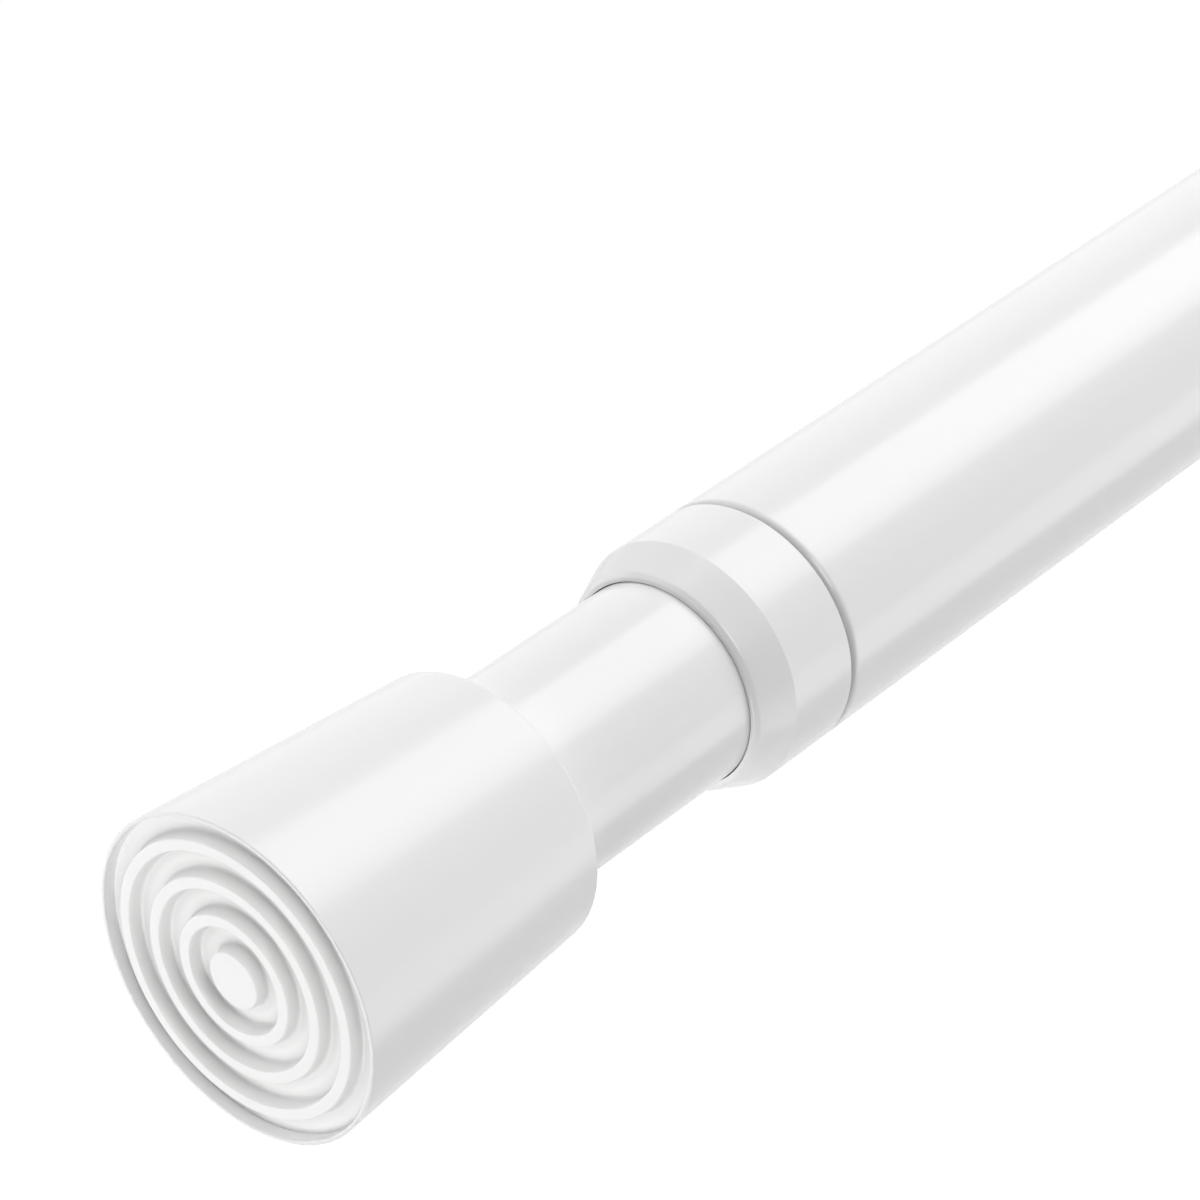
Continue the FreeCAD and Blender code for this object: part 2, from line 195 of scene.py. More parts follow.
def finish(name, tints, roughness, grain, bump, blotch=30.0, **sockets):
    """A material whose tint and roughness wander a little, with a fine bump of a given grain."""
    material = bpy.data.materials.new(name)
    material.use_nodes = True
    tree = material.node_tree
    shader = tree.nodes["Principled BSDF"]
    for socket, value in sockets.items():
        shader.inputs[socket.replace("_", " ")].default_value = value
    place = tree.nodes.new("ShaderNodeTexCoord").outputs["Object"]
    wander = add(tree, "ShaderNodeTexNoise", {"Vector": place, "Scale": blotch, "Detail": 3.0})
    tint = tree.nodes.new("ShaderNodeMix")
    tint.data_type = "RGBA"
    tint.inputs[6].default_value = (*tints[0], 1.0)
    tint.inputs[7].default_value = (*tints[1], 1.0)
    tree.links.new(wander, tint.inputs[0])
    tree.links.new(tint.outputs[2], shader.inputs["Base Color"])
    sheen = add(
        tree,
        "ShaderNodeMapRange",
        {"Value": wander, "To Min": roughness[0], "To Max": roughness[1]},
    )
    tree.links.new(sheen, shader.inputs["Roughness"])
    pebbles = add(tree, "ShaderNodeTexNoise", {"Vector": place, "Scale": grain, "Detail": 2.0})
    relief = add(
        tree,
        "ShaderNodeBump",
        {"Height": pebbles, "Strength": bump[0], "Distance": bump[1] * MM},
    )
    tree.links.new(relief, shader.inputs["Normal"])
    return material


def paint_shade_where(material, attribute, share):
    """Paint shade into a finish's colour: take a share off it where an attribute of the mesh is one."""
    tree = material.node_tree
    mark = tree.nodes.new("ShaderNodeAttribute")
    mark.attribute_name = attribute
    colour = tree.nodes["Principled BSDF"].inputs["Base Color"]
    kept = calc(tree, "MULTIPLY_ADD", mark.outputs["Fac"], -share, 1.0)
    darkened = add(
        tree,
        "ShaderNodeVectorMath",
        {0: colour.links[0].from_socket, "Scale": kept},
        operation="SCALE",
    )
    tree.links.new(darkened, colour)


enamel = finish(
    "gloss_enamel", [(0.845, 0.845, 0.845), (0.865, 0.865, 0.865)], (0.17, 0.21), 900.0, (0.10, 0.010)
)
foot_white = finish(
    "foot_gloss", [(0.850, 0.850, 0.850), (0.870, 0.870, 0.870)], (0.19, 0.24), 2600.0, (0.10, 0.004)
)
collar_white = finish(
    "collar_gloss", [(0.840, 0.840, 0.840), (0.860, 0.860, 0.860)], (0.18, 0.23), 2400.0, (0.10, 0.004)
)
pad_white = finish(
    "white_rubber", [(0.935, 0.935, 0.930), (0.960, 0.960, 0.955)], (0.34, 0.42), 3400.0, (0.20, 0.006)
)
print("white finishes", enamel.name, foot_white.name, collar_white.name, pad_white.name)

# %% [markdown]
# ## Finishes of the hidden pieces
# Inside the tubes are natural nylon, zinc plated steel, spring wire and a black rubber ring. Nylon
# lets a little light in. Turned steel carries fine lines round the axis, and drawn wire carries
# long ones, so their bump is a noise that is squeezed along one axis.
# %% Finishes of nylon and steel
nylon = finish(
    "natural_nylon",
    [(0.76, 0.75, 0.69), (0.82, 0.81, 0.76)],
    (0.38, 0.5),
    1800.0,
    (0.2, 0.01),
    Subsurface_Weight=0.15,
    Subsurface_Scale=0.002,
)
ring_rubber = finish(
    "black_rubber", [(0.035, 0.035, 0.035), (0.06, 0.06, 0.06)], (0.5, 0.65), 2500.0, (0.3, 0.01)
)


def lined_steel(name, tints, roughness, stretch):
    """Steel with fine lines: the noise is stretched so that it makes lines and not spots."""
    material = finish(name, tints, roughness, 1.0, (0.12, 0.004), blotch=120.0, Metallic=1.0)
    tree = material.node_tree
    place = tree.nodes["Texture Coordinate"].outputs["Object"]
    lines = add(tree, "ShaderNodeMapping", {"Vector": place, "Scale": stretch})
    pebbles = tree.nodes["Bump"].inputs["Height"].links[0].from_node
    tree.links.new(lines, pebbles.inputs["Vector"])
    return material


zinc = lined_steel("turned_zinc", [(0.62, 0.64, 0.68), (0.70, 0.70, 0.68)], (0.24, 0.36), (9000, 250, 250))
wire = lined_steel("drawn_wire", [(0.42, 0.43, 0.45), (0.50, 0.50, 0.50)], (0.3, 0.42), (300, 4000, 4000))
print("hidden finishes", nylon.name, ring_rubber.name, zinc.name, wire.name)

# %% [markdown]
# ## Turning an outline
# Tubes, collar, feet and pads are all bodies of revolution. They could be made with Spin, with a
# Screw modifier, or by sweeping a curve. Here a tree lays a grid whose rows take their place and
# radius from the points of an outline, because that keeps each point of the outline exactly.
# %% Geometry Nodes: turned outline
turned_tree, given, outlet = new_tree("Turned outline", {"Segments": "Int", "Material": "Material"})
outline_count = add(turned_tree, "GeometryNodeAttributeDomainSize", [given.outputs["Geometry"]])
around = calc(turned_tree, "ADD", given.outputs["Segments"], 1)
rows = calc(turned_tree, "ADD", outline_count, 1)
grid = add(
    turned_tree,
    "GeometryNodeMeshGrid",
    {"Vertices X": rows, "Vertices Y": around},
)
index = add(turned_tree, "GeometryNodeInputIndex")
row = calc(turned_tree, "FLOOR", calc(turned_tree, "DIVIDE", calc(turned_tree, "ADD", index, 0.5), around))
column = calc(turned_tree, "SUBTRACT", index, calc(turned_tree, "MULTIPLY", row, around))
outline_row = calc(turned_tree, "MODULO", row, outline_count)
outline_place = add(
    turned_tree,
    "GeometryNodeSampleIndex",
    data_type="FLOAT_VECTOR",
)
sample = outline_place.node
turned_tree.links.new(given.outputs["Geometry"], sample.inputs["Geometry"])
turned_tree.links.new(add(turned_tree, "GeometryNodeInputPosition"), sample.inputs["Value"])
turned_tree.links.new(outline_row, sample.inputs["Index"])
split = add(turned_tree, "ShaderNodeSeparateXYZ", [outline_place]).node
share = calc(turned_tree, "DIVIDE", column, given.outputs["Segments"])
angle = calc(turned_tree, "MULTIPLY", share, 2 * math.pi)
across = calc(turned_tree, "MULTIPLY", split.outputs["Z"], calc(turned_tree, "SINE", angle))
upward = calc(turned_tree, "MULTIPLY", split.outputs["Z"], calc(turned_tree, "COSINE", angle))
place = add(turned_tree, "ShaderNodeCombineXYZ", [split.outputs["X"], across, upward])
laid = add(turned_tree, "GeometryNodeSetPosition", {"Geometry": grid, "Position": place})
welded = add(turned_tree, "GeometryNodeMergeByDistance", {"Geometry": laid, "Distance": 0.0005 * MM})
finish_tree(turned_tree, welded, given, outlet)
print("tree", turned_tree.name, "with", len(turned_tree.nodes), "nodes")

# %% [markdown]
# ## Rounded corners
# No real edge is sharp, and the thin bright lines in the photograph are light on small rounded
# edges. So each corner of an outline gets a radius. Smooth shading bends the light over a whole
# face, so a support point on each side of a corner keeps the long faces flat.
# %% Outlines


def rounded(corners, steps=5, closed=True):
    """Points of an outline of (place, radius, rounding) corners, all in millimetres."""
    points = []
    count = len(corners)
    for number, (x, r, rounding) in enumerate(corners):
        here = Vector((x, r))
        on_axis = r < 1e-6
        if on_axis or rounding == 0 or (not closed and number in (0, count - 1)):
            points.append(here)
            continue
        before = Vector(corners[number - 1][:2])
        after = Vector(corners[(number + 1) % count][:2])
        back, ahead = (before - here), (after - here)
        room = 0.45 * min(back.length, ahead.length)
        back.normalize()
        ahead.normalize()
        half = back.angle(ahead) / 2
        reach = min(rounding / math.tan(half), room * 0.8)
        support = min(reach * 1.6, room)
        middle = here + (back + ahead).normalized() * (reach / math.cos(half))
        size = (here + back * reach - middle).length
        first = here + back * reach - middle
        last = here + ahead * reach - middle
        points.append(here + back * support)
        for step in range(steps + 1):
            share = step / steps
            points.append(middle + (first * (1 - share) + last * share).normalized() * size)
        points.append(here + ahead * support)
    return points


def outline_mesh(points):
    """A mesh whose vertices are the outline's points, in order."""
    mesh = bpy.data.meshes.new("outline")
    mesh.from_pydata([(p[0] * MM, 0, p[1] * MM) for p in points], [], [])
    return mesh


def outwards(mesh):
    """Turn a closed mesh's faces outwards."""
    work = bmesh.new()
    work.from_mesh(mesh)
    bmesh.ops.remove_doubles(work, verts=work.verts, dist=0.0004 * MM)
    bmesh.ops.dissolve_degenerate(work, dist=0.0002 * MM, edges=work.edges)
    on_axis = [edge for edge in work.edges if not edge.link_faces]
    bmesh.ops.delete(work, geom=on_axis, context="EDGES")
    bmesh.ops.recalc_face_normals(work, faces=work.faces)
    open_edges = sum(1 for edge in work.edges if len(edge.link_faces) != 2)
    work.to_mesh(mesh)
    work.free()
    return open_edges


def turned_mesh(name, points, material, segments=160, more_steps=()):
    """Turn an outline about the rod's axis, and run any more trees over the result."""
    steps = [(turned_tree, {"Segments": segments, "Material": material}), *more_steps]
    return grown(name, outline_mesh(points), steps)


def put(name, mesh, body, material, nodes=()):
    """Make an object of a mesh, let it ride on its body and stand for its CAD nodes."""
    open_edges = outwards(mesh)
    mesh.materials.clear()
    mesh.materials.append(material)
    mesh.polygons.foreach_set("material_index", [0] * len(mesh.polygons))
    piece = bpy.data.objects.new(name, mesh)
    bpy.context.scene.collection.objects.link(piece)
    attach(piece, body)
    if nodes:
        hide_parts(*nodes)
    print(name, len(mesh.polygons), "faces,", open_edges, "open edges")
    return piece


# %% [markdown]
# ## The outer tube
# The outer tube is the plain white tube that carries the curtain. Its far end is pressed into the
# fixed foot. At its mouth the steel is rolled in a little, which shows as a soft grey line beside
# the collar. That roll is a quarter of an ellipse, drawn point by point, because a plain rounding
# would start too sharply. Over the roll the enamel's colour has painted shade, darker towards the
# cut edge, for the shadow in the gap beside the collar. A mesh attribute says how much each point gets.
# %% Outer tube
tube_start, tube_end = ends("outer_tube")
tube_wall = 0.7
tube_bore = outer_radius - tube_wall
mouth_roll, mouth_drop, mouth_gap = 0.8, 0.6, 0.2
mouth_steps = 10
mouth_shade_share = 0.45
mouth = tube_end - mouth_gap
tube_outline = rounded([
    (tube_start, tube_bore, 0.1),
    (tube_start, outer_radius, 0.15),
    (mouth - mouth_roll - 0.3, outer_radius, 0),
], closed=False)
for step in range(mouth_steps + 1):
    roll = math.radians(90 * step / mouth_steps)
    tube_outline.append(Vector((
        mouth - mouth_roll * (1 - math.sin(roll)),
        outer_radius - mouth_drop * (1 - math.cos(roll)),
    )))
tube_outline.append(Vector((mouth, tube_bore)))
tube_mesh = turned_mesh("outer_tube_skin", tube_outline, enamel)
# Painted shade: the enamel's colour darkens over the roll towards the cut edge.
mouth_shade_layer = tube_mesh.attributes.new("mouth_painted_shade", "FLOAT", "POINT")
for point in tube_mesh.vertices:
    if point.co.x > (mouth - mouth_roll) * MM:
        drop = outer_radius - math.hypot(point.co.y, point.co.z) / MM
        roll_cosine = max(0.0, min(1.0, 1 - drop / mouth_drop))
        mouth_shade_layer.data[point.index].value = math.acos(roll_cosine) / (math.pi / 2)
paint_shade_where(enamel, "mouth_painted_shade", mouth_shade_share)
put("outer_tube_skin", tube_mesh, "outer_body", enamel, ["outer_tube"])

# %% [markdown]
# ## The inner tube
# The inner tube is thinner steel with the same enamel. Two beads are rolled into it: one holds the
# guide bush and one the plug that the spring pushes. The second bead shows when the rod is pulled
# out. A bead is four corners of the outline with generous roundings.
# %% Inner tube
tube_in, tube_out = ends("inner_tube")
inner_wall = 0.6
bead_depth = 0.5
bead_half_width = 1.3
bead_floor_half = 0.6
bead_rounding = 0.5


def bead(place, radius, direction=1):
    """Corners of a rolled bead in a surface, in the order of the outline."""
    corners = [
        (place - bead_half_width, radius, bead_rounding),
        (place - bead_floor_half, radius - bead_depth, bead_rounding),
        (place + bead_floor_half, radius - bead_depth, bead_rounding),
        (place + bead_half_width, radius, bead_rounding),
    ]
    return corners[::direction]


bush_bead = tube_in + 12.0
stop_bead = ends("spring_stop")[0] + 10.0
inner_bore = inner_radius - inner_wall
inner_outline = rounded(
    [(tube_in, inner_bore, 0.08), (tube_in, inner_radius, 0.15)]
    + bead(bush_bead, inner_radius)
    + bead(stop_bead, inner_radius)
    + [(tube_out, inner_radius, 0.15), (tube_out, inner_bore, 0.08)]
    + bead(stop_bead, inner_bore, -1)
    + bead(bush_bead, inner_bore, -1)
)
put("inner_tube_skin", turned_mesh("inner_tube_skin", inner_outline, enamel), "inner_body",
    enamel, ["inner_tube"])

# %% [markdown]
# ## Spokes about the axis
# The feet have ribs in their sockets and the collar's spigot has slots. All are the same box set
# out evenly about the axis. An array modifier with an empty would do, but a tree that instances one
# box on a handful of points says the count, the width and the reach by name.
# %% Geometry Nodes: spokes
spoke_inputs = {
    "Count": "Int",
    "Width": "Float",
    "Start": "Float",
    "End": "Float",
    "Low": "Float",
    "High": "Float",
    "First angle": "Float",
    "Material": "Material",
}
spoke_tree, given, outlet = new_tree("Spokes about the axis", spoke_inputs)
long_side = calc(spoke_tree, "SUBTRACT", given.outputs["End"], given.outputs["Start"])
tall_side = calc(spoke_tree, "SUBTRACT", given.outputs["High"], given.outputs["Low"])
box_size = add(spoke_tree, "ShaderNodeCombineXYZ", [long_side, given.outputs["Width"], tall_side])
box = add(spoke_tree, "GeometryNodeMeshCube", [box_size])
mid_place = calc(spoke_tree, "MULTIPLY_ADD", long_side, 0.5, given.outputs["Start"])
mid_height = calc(spoke_tree, "MULTIPLY_ADD", tall_side, 0.5, given.outputs["Low"])
box_place = add(spoke_tree, "ShaderNodeCombineXYZ", [mid_place, 0.0, mid_height])
standing = add(spoke_tree, "GeometryNodeTransform", {"Geometry": box, "Translation": box_place})
posts = add(spoke_tree, "GeometryNodePoints", [given.outputs["Count"]])
step_share = calc(spoke_tree, "DIVIDE", add(spoke_tree, "GeometryNodeInputIndex"), given.outputs["Count"])
turn_by = calc(spoke_tree, "MULTIPLY_ADD", step_share, 2 * math.pi, given.outputs["First angle"])
spoke_turn = add(spoke_tree, "ShaderNodeCombineXYZ", [turn_by, 0.0, 0.0])
spoke_ring = add(
    spoke_tree,
    "GeometryNodeInstanceOnPoints",
    {"Points": posts, "Instance": standing, "Rotation": spoke_turn},
)
spokes_real = add(spoke_tree, "GeometryNodeRealizeInstances", [spoke_ring])
spokes_painted = add(
    spoke_tree,
    "GeometryNodeSetMaterial",
    {"Geometry": spokes_real, "Material": given.outputs["Material"]},
)
spoke_tree.links.new(spokes_painted, outlet.inputs[0])


def spokes(name, material, count, width, start, end, low, high, first_angle=0.0):
    """A ring of boxes about the axis, sizes in millimetres."""
    values = {
        "Count": count,
        "Width": width * MM,
        "Start": start * MM,
        "End": end * MM,
        "Low": low * MM,
        "High": high * MM,
        "First angle": first_angle,
        "Material": material,
    }
    return grown(name, bpy.data.meshes.new(name), [(spoke_tree, values)])


def joined(name, meshes):
    """One mesh of several."""
    work = bmesh.new()
    for mesh in meshes:
        work.from_mesh(mesh)
    result = bpy.data.meshes.new(name)
    work.to_mesh(result)
    work.free()
    return result


print("tree", spoke_tree.name, "with", len(spoke_tree.nodes), "nodes")

# %% [markdown]
# ## The collar
# The collar is one moulding: a spigot with four slots that snaps into the outer tube, a band that
# lies flush with it, a coned nose, and a soft front edge about the bore where the inner tube comes
# out. Its outline is turned, and a Boolean takes out the slots, which no outline can hold.
# %% Collar
collar_start, collar_front = ends("collar")
slide_play, snap_play = 0.1, 0.05
front_rise, nose_length, band_length = 0.4, 3.6, 8.3
nose_wall = 0.92
slot_count, slot_width, slot_length = 4, 1.6, 12
collar_bore = inner_radius + slide_play
nose = collar_front - front_rise
nose_radius = inner_radius + nose_wall
collar_band = nose - nose_length
collar_shoulder = collar_band - band_length
spigot_radius = tube_bore - snap_play
collar_outline = rounded([
    (collar_start, collar_bore, 0.1),
    (collar_start, spigot_radius - 0.4, 0.1),
    (collar_start + 0.8, spigot_radius, 0.3),
    (collar_shoulder, spigot_radius, 0.05),
    (collar_shoulder, outer_radius, 0.16),
    (collar_band, outer_radius, 0.22),
    (nose, nose_radius, 0.6),
    (collar_front, collar_bore + 0.4, 0.4),
    (collar_front, collar_bore, 0.03),
])
collar_mesh = turned_mesh("collar_skin", collar_outline, collar_white)
slot_mesh = spokes("collar_slots", collar_white, slot_count, slot_width,
                   collar_start - 1, collar_start + slot_length,
                   inner_radius / 2, outer_radius + 1, math.pi / 4)
collar_host = bpy.data.objects.new("collar_host", collar_mesh)
slot_host = bpy.data.objects.new("slot_host", slot_mesh)
for host in (collar_host, slot_host):
    outwards(host.data)
    bpy.context.scene.collection.objects.link(host)
cut = collar_host.modifiers.new("slots", "BOOLEAN")
cut.object = slot_host
cut.operation = "DIFFERENCE"
cut.solver = "EXACT"
graph = bpy.context.evaluated_depsgraph_get()
collar_cut = bpy.data.meshes.new_from_object(collar_host.evaluated_get(graph))
collar_host.modifiers.clear()
for host in (collar_host, slot_host):
    bpy.data.objects.remove(host)
put("collar_skin", collar_cut, "outer_body", collar_white, ["collar"])

# %% [markdown]
# ## The feet
# A foot is a coned plastic shell, widest at the wall, with a thin rounded lip about the pad. The
# fixed foot has a plain socket with crush ribs for the outer tube. The sliding foot is hollow: a
# sleeve holds the inner tube and eight ribs tie it to the skirt. Both are drawn from the wall face
# inwards, and the sliding one is then turned round and moved to the other end.
# %% Shells of the feet
back_radius = outer_radius + 1.0
recess_depth, web_thickness = 1.9, 2.5
floor_front = foot_rim + recess_depth
floor_back = floor_front + web_thickness
lip_width = 0.4
pad_play = 0.05
stud_radius = 3.0
stud_hole = stud_radius + pad_play
rib_count = 8
rib_sink = 0.1


def cone_radius(place):
    """Outer radius of the foot at a distance from the wall face."""
    return rim_radius + (back_radius - rim_radius) * (place - foot_rim) / (foot_back - foot_rim)


def foot_front():
    """Corners of the shell's front, from the pad's recess round the lip to the back edge."""
    return [
        (floor_front, stud_hole, 0.1),
        (floor_front, cone_radius(floor_front) - lip_width, 0.15),
        (foot_rim, rim_radius - lip_width, 0.08),
        (foot_rim, rim_radius, 0.13),
        (foot_back, back_radius, 0.28),
    ]


grip = outer_radius + 0.05
socket = grip + 0.2
fixed_outline = rounded(foot_front() + [
    (foot_back, socket + 0.175, 0.08),
    (foot_back - 0.35, socket, 0.1),
    (floor_back, socket, 0.2),
    (floor_back, stud_hole, 0.1),
])
crush_ribs = spokes("crush_ribs", foot_white, rib_count, 1.4, floor_back - rib_sink, foot_back - 7.75,
                    grip, socket + rib_sink)
fixed_shell = turned_mesh("fixed_shell", fixed_outline, foot_white)
fixed_mesh = joined("fixed_foot_skin", [fixed_shell, crush_ribs])
put("fixed_foot_skin", fixed_mesh, "outer_body", foot_white, ["fixed_foot_shell"])

skirt_wall = 1.2
sleeve_wall = 1.2
sleeve_bore = inner_radius + 0.05
sleeve_outer = sleeve_bore + sleeve_wall
sleeve_end = foot_back - 3.0
sliding_outline = rounded(foot_front() + [
    (foot_back, back_radius - skirt_wall, 0.2),
    (floor_back, cone_radius(floor_back) - skirt_wall, 0.4),
    (floor_back, sleeve_outer, 0.4),
    (sleeve_end, sleeve_outer, 0.2),
    (sleeve_end, sleeve_bore, 0.2),
    (floor_back, sleeve_bore, 0.1),
    (floor_back, stud_hole, 0.1),
])
tie_ribs = spokes("tie_ribs", foot_white, rib_count, 1.2, floor_back - rib_sink, sleeve_end - rib_sink,
                  sleeve_outer - sleeve_wall / 2, cone_radius(foot_back) - skirt_wall + 0.3)
sliding_shell = turned_mesh("sliding_shell", sliding_outline, foot_white)
sliding_mesh = joined("sliding_foot_skin", [sliding_shell, tie_ribs])
sliding_mesh.transform(to_sliding_end)
put("sliding_foot_skin", sliding_mesh, "inner_body", foot_white, ["sliding_foot_shell"])

# %% [markdown]
# ## The rings of a pad
# The rubber pad has ring grooves that are all alike and evenly spaced, so they are a rule and not a
# drawing. A plain disc is turned with many fine rows, and a tree then sinks each point of its face
# by its radius: a curve holds the cross-section of one groove, and the pitch repeats it. The share
# of the depth, weighted towards the walls, is kept on the mesh for the painted shade in the grooves.
# %% Geometry Nodes: pressed rings
ring_inputs = {"Disc radius": "Float", "Pitch": "Float", "Width": "Float", "Depth": "Float",
               "Last groove": "Float", "Material": "Material"}
ring_tree, given, outlet = new_tree("Pressed rings", ring_inputs)
spot = add(ring_tree, "ShaderNodeSeparateXYZ", [add(ring_tree, "GeometryNodeInputPosition")]).node
y_z = add(ring_tree, "ShaderNodeCombineXYZ", [0.0, spot.outputs["Y"], spot.outputs["Z"]])
radius = add(ring_tree, "ShaderNodeVectorMath", [y_z], operation="LENGTH").node.outputs["Value"]
# From the edge of the last groove on, the floor stays down as far as the lip.
last_middle = calc(ring_tree, "MULTIPLY_ADD", given.outputs["Width"], 0.5, given.outputs["Last groove"])
capped = calc(ring_tree, "MINIMUM", radius, last_middle)
from_disc = calc(ring_tree, "SUBTRACT", capped, given.outputs["Disc radius"])
groove_half = calc(ring_tree, "MULTIPLY", given.outputs["Width"], 0.5)
from_first_middle = calc(ring_tree, "SUBTRACT", from_disc, groove_half)
half_pitch = calc(ring_tree, "MULTIPLY", given.outputs["Pitch"], 0.5)
wrapped = calc(ring_tree, "PINGPONG", from_first_middle, half_pitch)
disc_edge = calc(ring_tree, "MULTIPLY", groove_half, -1.3)
outside_disc = calc(ring_tree, "GREATER_THAN", from_first_middle, disc_edge)
off_middle = calc(ring_tree, "DIVIDE", wrapped, groove_half)
section = add(ring_tree, "ShaderNodeFloatCurve", {"Value": calc(ring_tree, "MULTIPLY", off_middle, 0.5)})
groove_section = [(0.0, 1.0), (0.33, 0.995), (0.40, 0.96), (0.445, 0.86), (0.475, 0.64), (0.50, 0.34),
                  (0.52, 0.13), (0.54, 0.03), (0.56, 0.0), (1.0, 0.0)]
section_curve = section.node.mapping.curves[0]
section_curve.points[0].location = groove_section[0]
section_curve.points[1].location = groove_section[-1]
for point in groove_section[1:-1]:
    section_curve.points.new(*point)
section.node.mapping.update()
on_face = calc(ring_tree, "LESS_THAN", spot.outputs["X"], 0.02 * MM)
share_sunk = calc(ring_tree, "MULTIPLY", calc(ring_tree, "MULTIPLY", section, outside_disc), on_face)
sink = calc(ring_tree, "MULTIPLY", share_sunk, given.outputs["Depth"])
push = add(ring_tree, "ShaderNodeCombineXYZ", [sink, 0.0, 0.0])
# Painted shade: how much the rubber's colour is darkened, by depth and nearness to the walls.
painted_groove_weight = calc(ring_tree, "MULTIPLY", share_sunk, off_middle)
marked = add(
    ring_tree,
    "GeometryNodeStoreNamedAttribute",
    {"Geometry": given.outputs["Geometry"], "Name": "groove", "Value": painted_groove_weight},
)
pressed = add(ring_tree, "GeometryNodeSetPosition", {"Geometry": marked, "Offset": push})
finish_tree(ring_tree, pressed, given, outlet)
print("tree", ring_tree.name, "with", len(ring_tree.nodes), "nodes")

# %% [markdown]
# ## The pads
# A pad is soft white rubber. It stands a little proud of the lip, so that only rubber touches the
# wall, and a barbed stud on its back holds it in the foot. Its outline has a row of points every
# few hundredths of a millimetre across the face, which the tree above then presses. The rubber's
# colour has painted shade in the grooves, more towards their walls, and the attribute says
# where.
# %% Pads
disc_radius, groove_pitch, groove_width, groove_depth = 2.8, 3.55, 2.3, 1.25
last_groove = disc_radius + 3 * groove_pitch
pad_radius = rim_radius - lip_width - pad_play
row_step = 0.06
barb_radius, barb_tip, barb_length = 3.6, 2.5, 2.0
# Painted shade: the share taken off the rubber's colour in the grooves.
groove_painted_shade = 0.18
paint_shade_where(pad_white, "groove", groove_painted_shade)
face_rows = int(pad_radius / row_step)
pad_face = [Vector((0.0, pad_radius * n / face_rows)) for n in range(face_rows + 1)]
pad_back = rounded([
    (0.9, pad_radius, 0),
    (floor_front, cone_radius(floor_front) - lip_width - pad_play, 0.1),
    (floor_front, stud_radius, 0.1),
    (floor_back, stud_radius, 0.05),
    (floor_back, barb_radius, 0.1),
    (floor_back + barb_length, barb_tip, 0.3),
    (floor_back + barb_length, 0.0, 0),
], closed=False)
ring_values = {
    "Disc radius": disc_radius * MM,
    "Pitch": groove_pitch * MM,
    "Width": groove_width * MM,
    "Depth": groove_depth * MM,
    "Last groove": last_groove * MM,
    "Material": pad_white,
}
for name, body, node, place in (
    ("fixed_foot_pad_rings", "outer_body", "fixed_foot_pad", Matrix.Identity(4)),
    ("sliding_foot_pad_rings", "inner_body", "sliding_foot_pad", to_sliding_end),
):
    pad_mesh = turned_mesh(name, pad_face + pad_back[1:], pad_white, 144, [(ring_tree, ring_values)])
    pad_mesh.transform(place)
    put(name, pad_mesh, body, pad_white, [node])

# %% [markdown]
# ## The spring
# The compression spring presses the two tubes apart. It is round wire wound at an even pitch, with
# its ends ground flat against a washer and a plug. A spiral curve with a round profile is such a
# coil, and two limits on its place grind the ends. It shortens when the rod is pressed in; here it
# rides on the inner tube.
# %% Geometry Nodes: coil spring
spring_inputs = {"Coil radius": "Float", "Wire radius": "Float", "Start": "Float", "Length": "Float",
                 "Turns": "Float", "Material": "Material"}
spring_tree, given, outlet = new_tree("Coil spring", spring_inputs)
spiral = add(
    spring_tree,
    "GeometryNodeCurveSpiral",
    {
        "Resolution": 48,
        "Rotations": given.outputs["Turns"],
        "Start Radius": given.outputs["Coil radius"],
        "End Radius": given.outputs["Coil radius"],
        "Height": given.outputs["Length"],
    },
)
spun = add(spring_tree, "ShaderNodeSeparateXYZ", [add(spring_tree, "GeometryNodeInputPosition")]).node
along = calc(spring_tree, "ADD", spun.outputs["Z"], given.outputs["Start"])
sideways = calc(spring_tree, "MULTIPLY", spun.outputs["Y"], -1.0)
lying = add(spring_tree, "ShaderNodeCombineXYZ", [along, sideways, spun.outputs["X"]])
coil_line = add(spring_tree, "GeometryNodeSetPosition", {"Geometry": spiral, "Position": lying})
wire_round = add(
    spring_tree,
    "GeometryNodeCurvePrimitiveCircle",
    {"Resolution": 14, "Radius": given.outputs["Wire radius"]},
)
coil = add(
    spring_tree,
    "GeometryNodeCurveToMesh",
    {"Curve": coil_line, "Profile Curve": wire_round, "Fill Caps": True},
)
coil_spot = add(spring_tree, "ShaderNodeSeparateXYZ", [add(spring_tree, "GeometryNodeInputPosition")]).node
coil_end = calc(spring_tree, "ADD", given.outputs["Start"], given.outputs["Length"])
not_before = calc(spring_tree, "MAXIMUM", coil_spot.outputs["X"], given.outputs["Start"])
ground = calc(spring_tree, "MINIMUM", not_before, coil_end)
ground_place = add(
    spring_tree, "ShaderNodeCombineXYZ", [ground, coil_spot.outputs["Y"], coil_spot.outputs["Z"]]
)
ground_coil = add(spring_tree, "GeometryNodeSetPosition", {"Geometry": coil, "Position": ground_place})
finish_tree(spring_tree, ground_coil, given, outlet)
spring_start, spring_end = ends("spring")
wire_radius = 0.8
spring_play = 1.0
spring_turns = 8.0
spring_values = {
    "Coil radius": (inner_bore - spring_play - wire_radius) * MM,
    "Wire radius": wire_radius * MM,
    "Start": spring_start * MM,
    "Length": (spring_end - spring_start) * MM,
    "Turns": spring_turns,
    "Material": wire,
}
spring_mesh = grown("spring_coil", bpy.data.meshes.new("spring_seed"), [(spring_tree, spring_values)])
spring_coil = put("spring_coil", spring_mesh, "inner_body", wire, ["spring"])
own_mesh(spring_coil)

